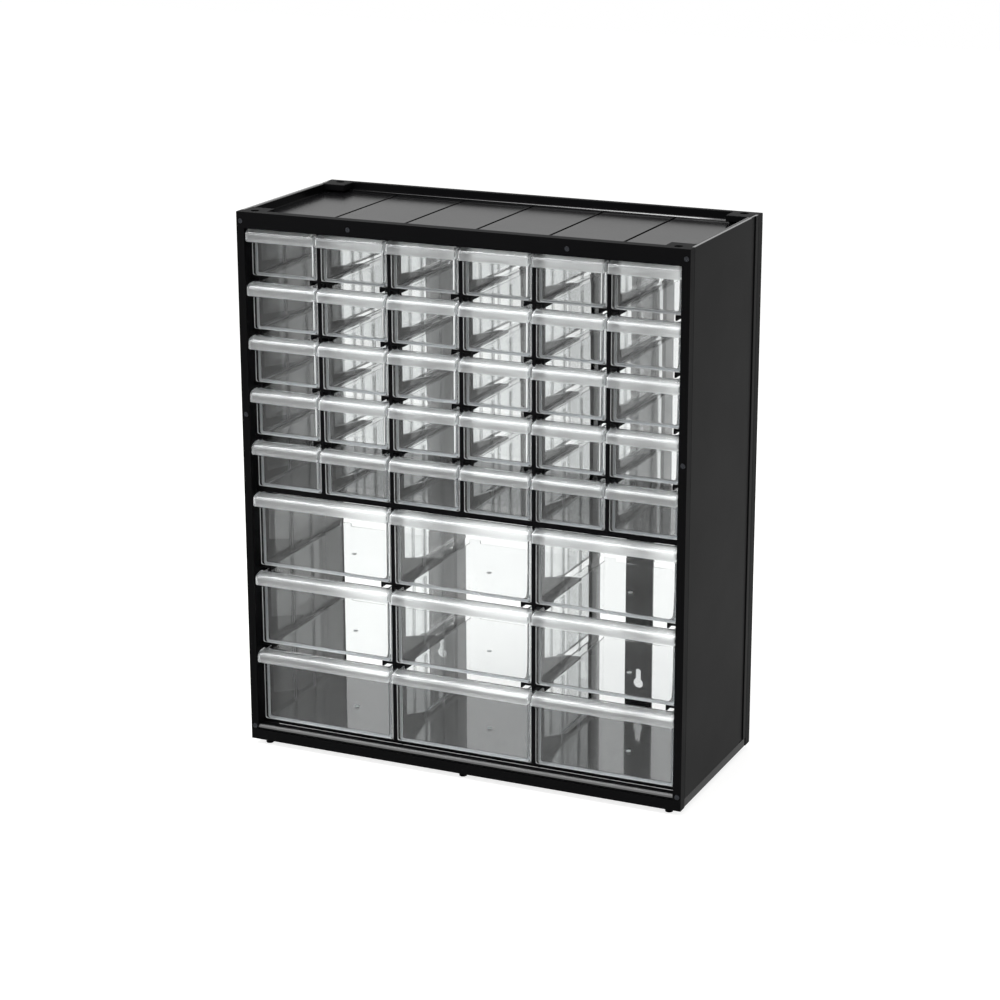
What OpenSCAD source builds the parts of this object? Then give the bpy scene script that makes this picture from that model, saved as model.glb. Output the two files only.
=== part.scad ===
// Parts bin cabinet: a black moulded case with clear drawers, small ones above and large ones below.
// Millimetres. X is across, Y runs from the front to the back, Z is up.
// The origin is on the floor, under the middle of the case.
// Inside the case, the modules measure y from the front face and z from the underside of the case.

/* [Drawer grid] */
// Columns of small drawers
small_cols = 6; // [4:2:6]
// Rows of small drawers
small_rows = 5; // [2:1:5]
// Columns of large drawers
large_cols = 3; // [2:1:3]
// Rows of large drawers
large_rows = 3; // [2:1:3]
// Width of a small cell, from the middle of one divider to the next
col_pitch = 58.8; // [52:0.1:70]
// Height of a small row, from ledge to ledge
small_pitch = 41.7; // [36:0.1:60]
// Height of a large row, from ledge to ledge
large_pitch = 64.4; // [52:0.1:90]

/* [Case] */
// Depth of the case, front to back
case_d = 154; // [130:0.5:200]
// From the outer edge of the cell grid to the outer face of the case
side_margin = 6.1; // [5.5:0.1:9]
// Thickness of a side panel between its posts
side_skin = 2.6; // [2:0.1:3.4]
// Depth of the thick post along the front and back edge of a side panel
post_d = 12; // [10:0.5:16]
// Width of the shallow groove down the outside of a side panel
side_groove_w = 9; // [4:0.5:14]
// Depth of that groove
side_groove_d = 0.8; // [0.4:0.1:1.2]
// Distance from that groove to the back edge of the side panel
side_groove_back = 6; // [4:0.5:12]
// Top of the floor above the underside of the case
floor_z = 15; // [13:0.5:20]
// Thickness of the floor
floor_t = 2.5; // [2:0.1:4]
// Height of the step on which the side panels stand
skirt_h = 7; // [5:0.5:9]
// Set-back of that step from the outer face of the side panels
skirt_inset = 0.5; // [0:0.1:1]
// Depth of the tray in the top
tray_depth = 6.3; // [6:0.1:12]
// Thickness of the tray's floor
tray_t = 2; // [1.6:0.1:3]
// Thickness of the tray's side walls
tray_wall = 2; // [1.4:0.1:2.4]
// Depth of the raised strip along the back of the tray
tray_strip_d = 8; // [4:0.5:14]
// Height of that strip
tray_strip_h = 1.6; // [0.8:0.1:3]
// Width of the grooves in the tray
groove_w = 2; // [1:0.1:3]
// Depth of the grooves in the tray
groove_d = 1.2; // [0.4:0.1:1.2]

/* [Dividers and ledges] */
// Thickness of a divider
divider_t = 3; // [2:0.1:4]
// Gap between the front frame and the dividers
divider_clear = 0.3; // [0.2:0.1:0.6]
// Gap between the dividers and the rear frame
divider_back = 8.5; // [6:0.1:15]
// Depth of a divider's front post
front_post = 17; // [10:0.5:24]
// Depth of a divider's rear post
rear_post = 17; // [10:0.5:24]
// Length of the brackets that carry the ledges, from the front post
web_len = 52; // [30:1:60]
// Height of a bracket above a small row's ledge, at the front post
small_web_h = 8; // [6:0.5:20]
// Height of a bracket above a large row's ledge, at the front post
large_web_h = 16; // [6:0.5:30]
// Height of a bracket above its ledge, at the free end
web_tail = 1; // [0.5:0.1:2]
// Material left over and under the opening in a divider
window_edge = 3; // [2.5:0.5:5]
// Corner radius of that opening
window_r = 4; // [2:0.5:6]
// Thickness of a ledge that carries drawers, and of the middle shelf
ledge_t = 1.8; // [1.4:0.1:2.4]
// Reach of a small row's ledge from the middle of a divider
small_reach = 8; // [7:0.5:12]
// Reach of a large row's ledge from the middle of a divider
large_reach = 10.5; // [8:0.5:16]
// Reach of the side panels' ledges behind the brackets, from the edge of the cell grid
rear_reach = 5.6; // [5.2:0.1:6.8]
// Thickness of the hook along the free edge of a ledge
hook_t = 1.5; // [1:0.1:2]
// Drop of the hook below its ledge
hook_drop = 2.4; // [1.6:0.1:3.4]
// Length of the hook, from the front end of its ledge
hook_len = 16; // [10:0.5:24]
// Depth of the shelf's front lip
shelf_lip_d = 3.2; // [2:0.1:5]
// Gap between the shelf and the rear frame
shelf_back = 4.7; // [2:0.1:7.5]
// Height of the ledge under the shelf's two ends
support_t = 2; // [1.4:0.1:3]

/* [Front frame] */
// Depth of the front frame
frame_d = 8.5; // [8:0.1:12]
// Height of the lower rail with its rounded lip
lip_h = 12.5; // [10:0.1:12.8]
// Radius of the rounded lip
lip_r = 2.1; // [1.5:0.1:2.4]
// Gap between the side posts and the drawer handles
handle_clear = 0.3; // [0.2:0.1:0.6]

/* [Rear frame and straps] */
// Depth of the rear frame
rear_d = 9.5; // [8:0.1:11]
// Width of the rear frame's posts
rear_post_w = 5; // [4:0.1:5.5]
// Thickness of the rear frame's outer wall
rear_wall = 5; // [4:0.1:6]
// Width of a strap
strap_w = 23; // [16:0.5:32]
// Thickness of a strap
strap_t = 2.5; // [2:0.1:3]
// Distance from a strap's ends to the top and the underside of the case
strap_end = 3; // [2:0.5:5]
// Height of the lower keyhole's wide end above the underside of the case
keyhole_z = 35; // [30:0.5:60]
// Distance from the upper keyhole's wide end to the top of the case
keyhole_top = 50; // [30:0.5:120]
// Diameter of a keyhole's wide end
keyhole_d = 8.4; // [7:0.1:12]
// Width of a keyhole's slot
keyhole_slot = 4.6; // [3:0.1:6]
// Length from the middle of the wide end to the middle of the slot's end
keyhole_len = 10; // [7:0.5:14]

/* [Stacking pegs] */
// Height of the pegs that the cabinet stands on
foot_h = 4.5; // [3:0.1:4.6]
// Diameter of a peg
peg_d = 6; // [5:0.1:8]
// Diameter of a peg's spigot
spigot_d = 4; // [3:0.1:4.5]
// Length of a peg's spigot
spigot_len = 4.5; // [3:0.1:4.8]
// Distance from the pegs to the outer face of the sides
peg_side = 12; // [11:0.5:16]
// Distance from the pegs to the front and back face of the case
peg_end = 8; // [7:0.5:9]
// Height of the lugs that hold the pegs
lug_h = 6; // [5.5:0.1:6.5]
// Width of a lug
lug_w = 13; // [11:0.5:14]
// Depth of a lug behind the frame's wall
lug_d = 11; // [8:0.5:11.5]
// Width of the plates in the tray's corners, from the outer face of the sides
corner_w = 22; // [19:0.5:30]
// Thickness of those plates
corner_t = 4.8; // [4.6:0.1:5.4]
// Play of a peg in the socket of the cabinet under it
socket_play = 0.4; // [0.2:0.1:1]

/* [Screws] */
// Diameter of a screw head
head_d = 3.6; // [3.4:0.1:4.8]
// Height of a screw head
head_h = 1.2; // [0.8:0.1:1.8]
// Diameter of a screw's shank
shank_d = 2.2; // [1.8:0.1:2.6]
// Depth to which a screw bites into the panel behind the frame
bite = 7; // [4:0.5:8]
// Radial play round a screw
screw_play = 0.1; // [0.05:0.05:0.2]
// Distance from the side screws to the outer face of the sides
screw_side = 3.2; // [3:0.1:3.4]
// Distance from the upper screws to the top of the case
screw_top = 7.2; // [6.8:0.1:7.6]
// Distance from the lower screws to the underside of the case
screw_low = 11; // [10:0.5:40]
// Distance from the middle side screws to the top of the case
screw_mid = 158; // [100:1:200]

/* [Drawers] */
// Gap under a drawer, over its ledge
run_clear = 0.2; // [0.1:0.05:0.4]
// Gap between a drawer's body and the divider
body_gap = 2.4; // [1:0.1:3]
// Gap between a drawer's front and the divider
panel_gap = 0.5; // [0.3:0.1:1]
// Gap between two handles side by side
handle_gap = 1.4; // [0.8:0.1:2]
// Gap between a drawer's front and the hooks above it
front_clear = 0.7; // [0.4:0.1:1.2]
// Thickness of a drawer's front
panel_t = 2; // [1.4:0.1:2.6]
// Cut corners at the bottom of a drawer's front
panel_cut = 1.6; // [0.5:0.1:3]
// Thickness of a drawer's walls
wall_t = 1.5; // [1:0.1:2]
// Thickness of a drawer's bottom
bottom_t = 1.6; // [1:0.1:2.4]
// Gap between a drawer at rest and the rear frame
drawer_back = 4; // [2:0.5:12]
// Height of the hooded handle
hood_h = 9.6; // [7:0.1:13]
// Drop of the hood's top from the front of the drawer to its outer edge
hood_fall = 3.6; // [2:0.1:5]
// Thickness of the hood
hood_t = 1.5; // [1:0.1:2]
// Thickness of the webs that close the ends of the hood
hood_web = 1.2; // [0.8:0.1:2]
// Set-back of the handle from the front face of the case
hood_back = 0.3; // [0.1:0.1:1]
// Gap between a drawer's stop tabs and the ledge above
tab_clear = 0.5; // [0.3:0.1:0.8]
// Width of a stop tab beyond the hook on each side
tab_over = 3; // [2:0.5:5]

/* [Hidden] */
steps = 48;             // sides of a circle where OpenSCAD shows one
facet = 12;             // sides of the flat-faced corners of the openings in the dividers
hood_steps = 4;         // flats along the curve of a hood
fit = 0.2;              // gap round a post where a panel is notched for it
eps = 0.5;              // how far a cutter runs past the face that it cuts
case_ink = "#1c1c1e";   // black moulded plastic
rail_ink = "#232326";   // the same, on the dividers
steel_ink = "#6d7073";  // screws
clear_ink = [0.86, 0.88, 0.90, 0.55]; // clear plastic

// The cell grid and the case round it
grid_w = small_cols * col_pitch;
grid_half = grid_w / 2;
half_w = grid_half + side_margin;
large_cell = grid_w / large_cols;
shelf_z = floor_z + large_rows * large_pitch;
tray_z = shelf_z + small_rows * small_pitch;
case_h = tray_z + tray_t + tray_depth;

// Side panels
skin_x = half_w - side_skin;
back_y = case_d - rear_d;
post_top = case_h - corner_t - fit;

// Dividers
divider_y = frame_d + divider_clear;
divider_end = back_y - divider_back;
web_end = divider_y + front_post + web_len;

// Front frame
post_w = side_margin + handle_gap / 2 - handle_clear;
top_rail_h = case_h - tray_z + ledge_t + hook_drop;

// Straps: behind the second column from each side
strap_x = (small_cols / 2 - 1.5) * col_pitch;

// Pegs and screws
peg_x = half_w - peg_side;
peg_ys = [peg_end, case_d - peg_end];
screw_x = half_w - screw_side;
rear_screw_x = half_w - rear_post_w / 2;
screw_zs = [screw_low, case_h - screw_mid, case_h - screw_top];
counter_d = head_d + 4 * screw_play;
counter_h = head_h + 2 * screw_play;
pilot_d = shank_d + 2 * screw_play;
boss_w = 6;             // width of the blocks that take the rail screws
boss_wall = 2;          // material behind the end of the screw in them
boss_d = bite + boss_wall;
strap_screw_in = 7;     // from a strap's ends to its screws

// Drawers
tab_z = ledge_t + tab_clear; // top of the stop tabs below the ledge line above
hood_reach = frame_d - hood_back;

// Names
function small_name(r, c) = str("small_drawer_r", r, "_c", c);
function large_name(r, c) = str("large_drawer_r", r, "_c", c);
function upper_name(i) = str("upper_divider_", i);
function lower_name(i) = str("lower_divider_", i);
CASE_NODES = [
    "left_side_panel", "right_side_panel", "top_tray", "bottom_panel", "middle_shelf",
    "front_frame", "rear_frame", "rear_strap_left", "rear_strap_right",
    "foot_pegs", "front_frame_screws", "rear_frame_screws", "strap_screws"
];

// ---- helpers ----

// A block between two opposite corners
module span(low, high) translate(low) cube(high - low);

// Case measures (y from the front face, z from the underside) moved to the cabinet's own frame
module in_case() translate([0, -case_d / 2, foot_h]) children();

// The same shape on the left and on the right
module both_sides() {
    children();
    mirror([1, 0, 0]) children();
}

// A round bar or bore along +Y, from y0 to y1
module along_y(x, z, y0, y1, d) translate([x, y0, z]) rotate([-90, 0, 0])
    cylinder(d = d, h = y1 - y0, $fn = steps);

// A flat outline in Y and Z, made t thick from x
module side_cut(x, t) translate([x, 0, 0]) rotate([90, 0, 90]) linear_extrude(t) children();

// A rectangle with cut round corners, from (a0, b0) to (a1, b1)
module soft_rect(a0, b0, a1, b1, r) {
    translate([a0 + r, b0]) square([a1 - a0 - 2 * r, b1 - b0]);
    translate([a0, b0 + r]) square([a1 - a0, b1 - b0 - 2 * r]);
    for (a = [a0 + r, a1 - r], b = [b0 + r, b1 - r]) translate([a, b]) circle(r = r, $fn = facet);
}

// ---- ledges ----

// One ledge with the hook on its free edge: it grows towards +X from x0 to x1, its top at z
module ledge(x0, x1, z) {
    span([x0, divider_y, z - ledge_t], [x1, web_end, z]);
    span([x1 - hook_t, divider_y, z - ledge_t - hook_drop], [x1, divider_y + hook_len, z - ledge_t]);
}

// The outline of a bracket, which carries the ledge whose top is at z: its top slopes down to the rear
module bracket(z, web_h)
    polygon([[divider_y, z - ledge_t], [web_end, z - ledge_t], [web_end, z + web_tail],
             [divider_y + front_post, z + web_h], [divider_y, z + web_h]]);

// The outline of the opening between two posts from z0 to z1, with a bracket in each row
module opening(z0, z1, rows, pitch, web_h) difference() {
    soft_rect(divider_y + front_post, z0 + window_edge, divider_end - rear_post, z1 - window_edge, window_r);
    for (r = [0:rows - 1]) bracket(z0 + r * pitch, web_h);
}

// ---- side panels ----

// The places of the notches that the tray, the shelf and the floor have for a side panel's posts
module post_notches(z0, z1) both_sides() {
    span([grid_half - fit, -eps, z0], [half_w + eps, frame_d + post_d + fit, z1]);
    span([grid_half - fit, back_y - post_d - fit, z0], [half_w + eps, case_d + eps, z1]);
}

// Right-hand panel; the left one is its mirror image
module side_panel() {
    groove_y = back_y - side_groove_back - side_groove_w;
    difference() {
        union() {
            span([skin_x, frame_d, skirt_h], [half_w, back_y, case_h]);
            for (y = [frame_d, back_y - post_d])
                span([grid_half, y, skirt_h], [half_w, y + post_d, post_top]);
            span([grid_half, frame_d, shelf_z - ledge_t - support_t],
                 [skin_x + eps, back_y, shelf_z - ledge_t]);
            side_lining(floor_z, shelf_z - ledge_t - support_t, large_rows, large_pitch, large_web_h);
            side_lining(shelf_z, tray_z, small_rows, small_pitch, small_web_h);
            for (r = [1:large_rows - 1])
                side_ledge(large_reach, floor_z + r * large_pitch);
            for (r = [1:small_rows])
                side_ledge(small_reach, shelf_z + r * small_pitch);
        }
        span([half_w - side_groove_d, groove_y, skirt_h - eps],
             [half_w + eps, groove_y + side_groove_w, case_h + eps]);
        for (z = screw_zs) {
            along_y(screw_x, z, frame_d - eps, frame_d + bite + eps, pilot_d);
            along_y(rear_screw_x, z, back_y - bite - eps, back_y + eps, pilot_d);
        }
    }
}

// The inner layer of a side panel between z0 and z1: it repeats the posts and brackets of the dividers
module side_lining(z0, z1, rows, pitch, web_h) difference() {
    span([grid_half, frame_d, z0], [skin_x + eps, divider_end, z1]);
    side_cut(grid_half - eps, skin_x + eps - grid_half) opening(z0, z1, rows, pitch, web_h);
}

// A ledge that grows from the panel towards the middle of the case, and runs on narrower to the back
module side_ledge(reach, z) {
    mirror([1, 0, 0]) ledge(-skin_x - eps, reach - grid_half, z);
    span([grid_half - rear_reach, web_end - eps, z - ledge_t], [skin_x + eps, divider_end, z]);
}

module left_side_panel() color(case_ink) in_case() mirror([1, 0, 0]) side_panel();
module right_side_panel() color(case_ink) in_case() side_panel();

// ---- top tray ----

module top_tray() color(case_ink) in_case() {
    strip_x = half_w - corner_w - fit;
    strip_y = case_d - rear_wall - tray_strip_d;
    difference() {
        union() {
            span([-skin_x, frame_d, tray_z], [skin_x, case_d - rear_wall, tray_z + tray_t]);
            both_sides() span([skin_x - tray_wall, frame_d, tray_z], [skin_x, back_y, case_h]);
            span([-strip_x, strip_y, tray_z],
                 [strip_x, case_d - rear_wall, tray_z + tray_t + tray_strip_h]);
            for (x = [-strap_x, strap_x])
                span([x - boss_w / 2, frame_d, tray_z - ledge_t],
                     [x + boss_w / 2, frame_d + boss_d, case_h - screw_top + boss_w / 2]);
        }
        post_notches(tray_z - eps, case_h + eps);
        for (i = [1:small_cols - 1])
            span([i * col_pitch - grid_half - groove_w / 2, frame_d + boss_d, tray_z + tray_t - groove_d],
                 [i * col_pitch - grid_half + groove_w / 2, strip_y, tray_z + tray_t + eps]);
        for (x = [-strap_x, strap_x])
            along_y(x, case_h - screw_top, frame_d - eps, frame_d + bite + eps, pilot_d);
    }
}

// ---- floor ----

module bottom_panel() color(case_ink) in_case() {
    difference() {
        union() {
            span([-skin_x, frame_d, floor_z - floor_t], [skin_x, back_y, floor_z]);
            both_sides() {
                span([skin_x - side_skin, frame_d, 0], [skin_x, back_y, floor_z]);
                span([skin_x - side_skin, frame_d, 0], [half_w - skirt_inset, back_y, skirt_h]);
            }
            for (i = [1:small_cols - 1])
                span([i * col_pitch - grid_half - ledge_t / 2, frame_d + post_d, skirt_h],
                     [i * col_pitch - grid_half + ledge_t / 2, back_y - post_d, floor_z]);
        }
        post_notches(skirt_h, floor_z + eps);
    }
}

// ---- middle shelf ----

module middle_shelf() color(case_ink) in_case() {
    y1 = back_y - shelf_back;
    lip_x = grid_half - fit;
    difference() {
        union() {
            span([-skin_x, divider_y, shelf_z - ledge_t], [skin_x, y1, shelf_z]);
            span([-lip_x, divider_y, shelf_z - ledge_t - hook_drop],
                 [lip_x, divider_y + shelf_lip_d, shelf_z - ledge_t]);
            // the hooks of the upper large row, where a ledge would have them
            for (i = [0:large_cols - 1], x = [large_reach - hook_t, large_cell - large_reach])
                translate([i * large_cell - grid_half + x, 0, 0])
                    span([0, divider_y, shelf_z - ledge_t - hook_drop],
                         [hook_t, divider_y + hook_len, shelf_z - ledge_t]);
        }
        post_notches(shelf_z - ledge_t - hook_drop - eps, shelf_z + eps);
    }
}

// ---- dividers ----

// A divider between z0 and z1 with rows of the given pitch; its ledges start one pitch above z0
module divider(x, z0, z1, rows, ledges, pitch, reach, web_h) {
    difference() {
        span([x - divider_t / 2, divider_y, z0], [x + divider_t / 2, divider_end, z1]);
        side_cut(x - divider_t / 2 - eps, divider_t + 2 * eps) opening(z0, z1, rows, pitch, web_h);
    }
    for (r = [1:ledges])
        translate([x, 0, 0]) both_sides() ledge(divider_t / 2 - eps, reach, z0 + r * pitch);
}

module upper_divider(i) color(rail_ink) in_case()
    divider(i * col_pitch - grid_half, shelf_z, tray_z, small_rows, small_rows, small_pitch,
            small_reach, small_web_h);

module lower_divider(i) color(rail_ink) in_case() difference() {
    divider(i * large_cell - grid_half, floor_z, shelf_z - ledge_t, large_rows, large_rows - 1, large_pitch,
            large_reach, large_web_h);
    // room for the shelf's front lip
    span([-half_w, 0, shelf_z - ledge_t - hook_drop - fit],
         [half_w, divider_y + shelf_lip_d + fit, shelf_z]);
}

// ---- front frame ----

// A screw's way through a frame, from its outer face y0 to its inner face y1
// out is -1 at the front of the cabinet and 1 at its back
module screw_hole(x, z, y0, y1, out) {
    along_y(x, z, min(y0, y1) - eps, max(y0, y1) + eps, pilot_d);
    if (out < 0) along_y(x, z, y0 - eps, y0 + counter_h, counter_d);
    else along_y(x, z, y0 - counter_h, y0 + eps, counter_d);
}

// The lugs that hold the pegs, between y0 and y1
module lugs(y0, y1) for (x = [-peg_x, 0, peg_x])
    span([x - lug_w / 2, y0, 0], [x + lug_w / 2, y1, lug_h]);

// The plates in the upper corners, between y0 and y1
module corner_plates(y0, y1) both_sides()
    span([half_w - corner_w, y0, case_h - corner_t], [skin_x, y1, case_h]);

// The blind holes for this cabinet's pegs and for those of a cabinet on top of it
module peg_holes(y) {
    for (x = [-peg_x, 0, peg_x]) translate([x, y, -eps])
        cylinder(d = spigot_d + fit, h = spigot_len + eps + fit, $fn = steps);
    both_sides() translate([peg_x, y, case_h - corner_t])
        cylinder(d = peg_d + socket_play, h = corner_t + eps, $fn = steps);
}

module front_frame() color(case_ink) in_case() difference() {
    union() {
        both_sides() span([half_w - post_w, 0, 0], [half_w, frame_d, case_h]);
        span([-half_w, 0, case_h - top_rail_h], [half_w, frame_d, case_h]);
        // lower rail: flat below, a rounded lip along its top
        span([-half_w, 0, 0], [half_w, frame_d, lip_h - 2 * lip_r - fit]);
        span([-half_w, lip_r, 0], [half_w, frame_d, lip_h]);
        translate([-half_w + post_w / 2, lip_r + fit, lip_h - lip_r]) rotate([0, 90, 0])
            cylinder(r = lip_r, h = 2 * half_w - post_w, $fn = steps);
        lugs(frame_d - eps, frame_d + lug_d);
        corner_plates(frame_d - eps, frame_d + post_d);
    }
    for (s = [-1, 1], z = screw_zs) screw_hole(s * screw_x, z, 0, frame_d, -1);
    for (s = [-1, 1]) screw_hole(s * strap_x, case_h - screw_top, 0, frame_d, -1);
    peg_holes(peg_ys[0]);
}

// ---- rear frame and straps ----

module strap_blank(s, grow) span(
    [s * strap_x - strap_w / 2 - grow, case_d - strap_t - grow, strap_end - grow],
    [s * strap_x + strap_w / 2 + grow, case_d + 2 * grow, case_h - strap_end + grow]);

module rear_frame() color(case_ink) in_case() {
    wall_y = case_d - rear_wall;
    difference() {
        union() {
            both_sides() span([half_w - rear_post_w, back_y, 0], [half_w, case_d, case_h]);
            span([-half_w, wall_y, case_h - top_rail_h], [half_w, case_d, case_h]);
            span([-half_w, back_y, case_h - top_rail_h], [half_w, wall_y + eps, tray_z]);
            span([-half_w, wall_y, 0], [half_w, case_d, floor_z]);
            span([-half_w, back_y, floor_z - lug_h], [half_w, wall_y + eps, floor_z]);
            lugs(wall_y - lug_d, wall_y + eps);
            corner_plates(back_y - post_d, wall_y + eps);
        }
        for (s = [-1, 1]) {
            strap_blank(s, fit / 2);
            for (z = screw_zs) screw_hole(s * rear_screw_x, z, case_d, back_y, 1);
            for (z = [strap_end + strap_screw_in, case_h - strap_end - strap_screw_in])
                along_y(s * strap_x, z, wall_y - eps, case_d + eps, pilot_d);
        }
        peg_holes(peg_ys[1]);
    }
}

// A keyhole through a strap, its wide end down
module keyhole(x, z) {
    y0 = case_d - strap_t - eps;
    y1 = case_d + eps;
    along_y(x, z, y0, y1, keyhole_d);
    along_y(x, z + keyhole_len, y0, y1, keyhole_slot);
    span([x - keyhole_slot / 2, y0, z], [x + keyhole_slot / 2, y1, z + keyhole_len]);
}

module rear_strap(s) color(case_ink) in_case() difference() {
    strap_blank(s, 0);
    for (z = [keyhole_z, case_h - keyhole_top]) keyhole(s * strap_x, z);
    for (z = [strap_end + strap_screw_in, case_h - strap_end - strap_screw_in])
        screw_hole(s * strap_x, z, case_d, case_d - strap_t, 1);
}

// ---- pegs ----

module foot_pegs() color(case_ink) in_case() for (x = [-peg_x, 0, peg_x], y = peg_ys) translate([x, y, 0]) {
    translate([0, 0, -foot_h]) cylinder(d = peg_d, h = foot_h, $fn = steps);
    translate([0, 0, -eps]) cylinder(d = spigot_d, h = spigot_len + eps, $fn = steps);
}

// ---- screws ----

// A screw that points along +Y, the top of its head at the origin
module screw(len) difference() {
    union() {
        rotate([-90, 0, 0]) cylinder(d = head_d, h = head_h, $fn = steps);
        rotate([-90, 0, 0]) cylinder(d = shank_d, h = len, $fn = steps);
    }
    for (a = [0, 90]) rotate([0, a, 0])
        span([-head_d / 3, -eps, -head_h / 4], [head_d / 3, head_h / 2, head_h / 4]);
}

// The screw's head lies just below the face of the piece that it holds
module front_screw_at(x, z, len) translate([x, counter_h - head_h, z]) screw(len);
module rear_screw_at(x, z, len) translate([x, case_d - counter_h + head_h, z]) mirror([0, 1, 0]) screw(len);

module front_frame_screws() color(steel_ink) in_case() {
    len = frame_d + bite - (counter_h - head_h);
    for (s = [-1, 1]) {
        for (z = screw_zs) front_screw_at(s * screw_x, z, len);
        front_screw_at(s * strap_x, case_h - screw_top, len);
    }
}

module rear_frame_screws() color(steel_ink) in_case()
    for (s = [-1, 1], z = screw_zs)
        rear_screw_at(s * rear_screw_x, z, rear_d + bite - (counter_h - head_h));

module strap_screws() color(steel_ink) in_case()
    for (s = [-1, 1], z = [strap_end + strap_screw_in, case_h - strap_end - strap_screw_in])
        rear_screw_at(s * strap_x, z, rear_wall - (counter_h - head_h));

// ---- drawers ----

// The hood's curve in Y and Z: a quarter of an ellipse from the drawer's front to the hood's edge
function hood_curve(reach, fall) =
    [for (k = [0:hood_steps]) let (a = 90 * k / hood_steps)
        [frame_d - reach * sin(a), fall * (cos(a) - 1)]];
function back_to_front(list) = [for (k = [len(list) - 1:-1:0]) list[k]];
function hood_points() = concat(
    hood_curve(hood_reach, hood_fall),
    [[hood_back, -hood_h], [hood_back + hood_t, -hood_h]],
    back_to_front([for (p = hood_curve(hood_reach - hood_t, hood_fall)) [p[0], p[1] - hood_t]])
);

// The full-width handle, its top at z
module hood(half, z) {
    translate([0, 0, z]) side_cut(-half, 2 * half) polygon(hood_points());
    for (x = [-half, half - hood_web]) translate([0, 0, z]) side_cut(x, hood_web)
        polygon(concat(hood_curve(hood_reach, hood_fall), [[hood_back, -hood_h], [frame_d, -hood_h]]));
}

// A drawer in a cell of the given width and pitch, its ledge at z = 0 and its middle at x = 0
module drawer(cell, pitch, reach) {
    cell_half = (cell - divider_t) / 2;
    body = cell_half - body_gap;
    panel = cell_half - panel_gap;
    top = pitch - ledge_t - hook_drop - front_clear;
    back = back_y - drawer_back;
    hook_x = cell / 2 - reach;
    // front
    translate([0, frame_d + panel_t, 0]) rotate([90, 0, 0]) linear_extrude(panel_t) polygon([
        [-panel, top], [-panel, run_clear + panel_cut], [-panel + panel_cut, run_clear],
        [panel - panel_cut, run_clear], [panel, run_clear + panel_cut], [panel, top]]);
    hood((cell - handle_gap) / 2, top);
    // body
    difference() {
        span([-body, frame_d, run_clear], [body, back, top]);
        span([-body + wall_t, frame_d + panel_t, run_clear + bottom_t],
             [body - wall_t, back - wall_t, top + eps]);
    }
    // tabs that meet the hooks when the drawer is all the way out
    both_sides() span([hook_x - tab_over, back - wall_t, top - eps], [body, back, pitch - tab_z]);
}

// The middle of cell c in a row of the given count and width
function cell_x(c, count, cell) = (c - (count + 1) / 2) * cell;

module small_drawer(r, c) color(clear_ink) in_case()
    translate([cell_x(c, small_cols, col_pitch), 0, shelf_z + (small_rows - r) * small_pitch])
        drawer(col_pitch, small_pitch, small_reach);

module large_drawer(r, c) color(clear_ink) in_case()
    translate([cell_x(c, large_cols, large_cell), 0, floor_z + (large_rows - r) * large_pitch])
        drawer(large_cell, large_pitch, large_reach);

// ---- the cabinet ----

left_side_panel();
right_side_panel();
top_tray();
bottom_panel();
middle_shelf();
front_frame();
rear_frame();
rear_strap(-1);  // rear_strap_left
rear_strap(1);  // rear_strap_right
foot_pegs();
front_frame_screws();
rear_frame_screws();
strap_screws();
for (i = [1:small_cols - 1]) upper_divider(i);
for (i = [1:large_cols - 1]) lower_divider(i);
for (r = [1:small_rows], c = [1:small_cols])
    small_drawer(r, c);
for (r = [1:large_rows], c = [1:large_cols])
    large_drawer(r, c);
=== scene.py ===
# %% [markdown]
# # A parts cabinet with clear drawers
# A black moulded case holds five rows of small drawers and three rows of large ones. The case comes from
# the CAD frame with its edges eased here, and the drawers are modelled again in thin clear walls.
# All lengths in this file are written in millimetres and turned to metres in one place.

# %% Load the frame
import math

import bmesh
import bpy
from mathutils import Matrix, Vector


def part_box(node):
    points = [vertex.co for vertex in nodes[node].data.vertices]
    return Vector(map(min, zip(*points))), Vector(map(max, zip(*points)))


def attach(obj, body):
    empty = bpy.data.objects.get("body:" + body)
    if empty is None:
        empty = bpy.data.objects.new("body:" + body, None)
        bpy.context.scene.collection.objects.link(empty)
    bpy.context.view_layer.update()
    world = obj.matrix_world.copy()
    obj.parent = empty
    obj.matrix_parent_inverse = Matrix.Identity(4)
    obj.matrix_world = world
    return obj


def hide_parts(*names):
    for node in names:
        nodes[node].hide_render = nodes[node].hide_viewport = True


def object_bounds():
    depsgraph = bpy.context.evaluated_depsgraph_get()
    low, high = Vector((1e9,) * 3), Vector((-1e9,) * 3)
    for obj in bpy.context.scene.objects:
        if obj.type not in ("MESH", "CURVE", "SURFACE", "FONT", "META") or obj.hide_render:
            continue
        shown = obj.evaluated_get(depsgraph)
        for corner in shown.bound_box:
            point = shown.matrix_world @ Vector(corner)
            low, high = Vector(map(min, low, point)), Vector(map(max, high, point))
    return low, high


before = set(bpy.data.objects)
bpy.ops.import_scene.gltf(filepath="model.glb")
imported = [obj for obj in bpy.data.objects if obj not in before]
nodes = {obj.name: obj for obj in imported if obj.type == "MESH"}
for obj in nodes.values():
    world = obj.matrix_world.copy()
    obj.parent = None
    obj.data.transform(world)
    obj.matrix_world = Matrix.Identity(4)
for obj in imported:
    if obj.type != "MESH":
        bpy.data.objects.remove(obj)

scene = bpy.context.scene
cad_box = [list(corner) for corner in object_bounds()]
print("CAD box in metres:", cad_box)

# %% [markdown]
# ## Three helpers that every later cell uses
# Blender works in metres, sRGB hex codes have to become linear light before a shader can use them, and a
# shader is a tree of nodes. One small function for each keeps the cells below short.

# %% Units, colours and nodes
MM = 0.001


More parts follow.
